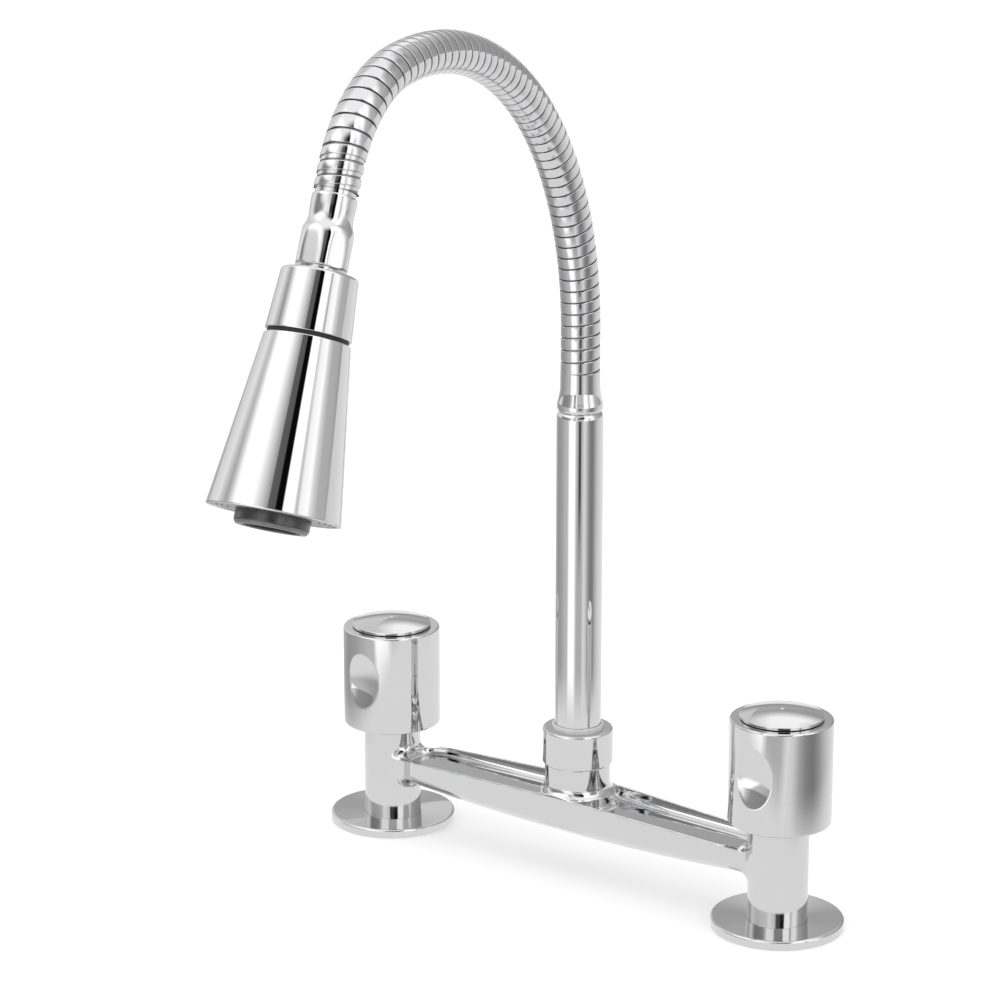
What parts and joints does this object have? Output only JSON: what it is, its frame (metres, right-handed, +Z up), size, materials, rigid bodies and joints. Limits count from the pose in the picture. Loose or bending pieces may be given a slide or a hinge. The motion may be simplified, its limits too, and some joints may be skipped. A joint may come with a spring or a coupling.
{
  "type": "kitchen mixer tap",
  "caption": "Deck-mounted bridge mixer tap with quarter-turn knobs, a swivel riser and a stay-put ribbed gooseneck that carries a twist-select spray head.",
  "frame": {"origin": "on the deck, midway between the two inlets, at the feet of the pillars", "axes": "+Z up along the riser, X along the bridge from the left inlet to the right one, -Y towards the person, where the spout reaches"},
  "size_m": [0.2644, 0.2923, 0.3807],
  "materials": {
    "polished_chrome": "polished chrome plate",
    "chromed_plastic": "mirror chrome plate on moulded plastic",
    "hose_metal": "polished interlocked strip",
    "turned_brass": "turned",
    "plain_steel": "plain",
    "ceramic": "lapped ceramic",
    "seal_rubber": "matt",
    "white_plastic": "satin",
    "face_plastic": "satin grey",
    "dark_plastic": "satin dark grey",
    "black_plastic": "matt black"
  },
  "bodies": {
    "base": {"bridge_body": "polished_chrome", "spout_nut": "polished_chrome", "guide_ring": "white_plastic", "left_flange": "polished_chrome", "left_flange_seal": "seal_rubber", "left_valve_body": "turned_brass", "left_fixed_disc": "ceramic", "left_seat_seal": "seal_rubber", "left_body_washer": "seal_rubber", "right_flange": "polished_chrome", "right_flange_seal": "seal_rubber", "right_valve_body": "turned_brass", "right_fixed_disc": "ceramic", "right_seat_seal": "seal_rubber", "right_body_washer": "seal_rubber"},
    "left_handle": {"left_knob": "polished_chrome", "left_spindle": "turned_brass", "left_moving_disc": "ceramic", "left_spindle_oring": "seal_rubber", "left_knob_screw": "plain_steel", "left_index_cap": "polished_chrome"},
    "right_handle": {"right_knob": "polished_chrome", "right_spindle": "turned_brass", "right_moving_disc": "ceramic", "right_spindle_oring": "seal_rubber", "right_knob_screw": "plain_steel", "right_index_cap": "polished_chrome"},
    "spout": {"riser_tube": "polished_chrome", "spout_foot": "turned_brass", "foot_oring_high": "seal_rubber", "foot_oring_low": "seal_rubber", "lower_ferrule": "polished_chrome", "hose_link_1": "hose_metal", "inner_tube_1": "white_plastic"},
    "hose_2": {"hose_link_2": "hose_metal", "inner_tube_2": "white_plastic"},
    "hose_3": {"hose_link_3": "hose_metal", "inner_tube_3": "white_plastic"},
    "hose_4": {"hose_link_4": "hose_metal", "inner_tube_4": "white_plastic"},
    "hose_5": {"hose_link_5": "hose_metal", "inner_tube_5": "white_plastic"},
    "hose_6": {"hose_link_6": "hose_metal", "inner_tube_6": "white_plastic"},
    "head": {"hose_link_7": "hose_metal", "inner_tube_7": "white_plastic", "upper_ferrule": "polished_chrome", "ferrule_washer": "seal_rubber", "head_collar": "chromed_plastic", "head_core": "white_plastic", "groove_ring": "black_plastic", "core_oring": "seal_rubber", "skirt_clip": "plain_steel"},
    "skirt": {"spray_skirt": "chromed_plastic", "spray_insert": "white_plastic", "spray_face": "face_plastic", "diverter_disc": "white_plastic", "aerator_housing": "dark_plastic", "aerator_screen": "plain_steel", "aerator_seal": "seal_rubber"}
  },
  "joints": [
    {"name": "left_handle_turn", "type": "hinge", "parent": "base", "child": "left_handle", "pos_m": [-0.104, 0, 0.07], "axis": [0, 0, 1], "range_deg": [0, 90]},
    {"name": "right_handle_turn", "type": "hinge", "parent": "base", "child": "right_handle", "pos_m": [0.104, 0, 0.07], "axis": [0, 0, 1], "range_deg": [-90, 0]},
    {"name": "spout_swivel", "type": "hinge", "parent": "base", "child": "spout", "pos_m": [0, 0, 0.057], "axis": [0, 0, 1], "continuous": true},
    {"name": "hose_bend_1", "type": "hinge", "parent": "spout", "child": "hose_2", "pos_m": [0.00063, -0.00377, 0.27272], "axis": [0.9863, 0.165, 0], "range_deg": [-10, 5]},
    {"name": "hose_bend_2", "type": "hinge", "parent": "hose_2", "child": "hose_3", "pos_m": [0.004, -0.0239, 0.3172], "axis": [0.9863, 0.165, 0], "range_deg": [-10, 5]},
    {"name": "hose_bend_3", "type": "hinge", "parent": "hose_3", "child": "hose_4", "pos_m": [0.00983, -0.05872, 0.35109], "axis": [0.9863, 0.165, 0], "range_deg": [-10, 5]},
    {"name": "hose_bend_4", "type": "hinge", "parent": "hose_4", "child": "hose_5", "pos_m": [0.0173, -0.10338, 0.36966], "axis": [0.9863, 0.165, 0], "range_deg": [-10, 5]},
    {"name": "hose_bend_5", "type": "hinge", "parent": "hose_5", "child": "hose_6", "pos_m": [0.02538, -0.15164, 0.37031], "axis": [0.9863, 0.165, 0], "range_deg": [-10, 5]},
    {"name": "hose_bend_6", "type": "hinge", "parent": "hose_6", "child": "head", "pos_m": [0.02952, -0.17643, 0.35899], "axis": [0.9863, 0.165, 0], "range_deg": [-10, 5]},
    {"name": "spray_selector", "type": "hinge", "parent": "head", "child": "skirt", "pos_m": [0.03273, -0.19559, 0.3306], "axis": [0.0645, -0.3854, -0.9205], "range_deg": [0, 90]}
  ],
  "couplings": [
    {"joint": "hose_bend_2", "follows": "hose_bend_1", "ratio": 1},
    {"joint": "hose_bend_3", "follows": "hose_bend_1", "ratio": 1},
    {"joint": "hose_bend_4", "follows": "hose_bend_1", "ratio": 1},
    {"joint": "hose_bend_5", "follows": "hose_bend_1", "ratio": 1},
    {"joint": "hose_bend_6", "follows": "hose_bend_1", "ratio": 1}
  ]
}
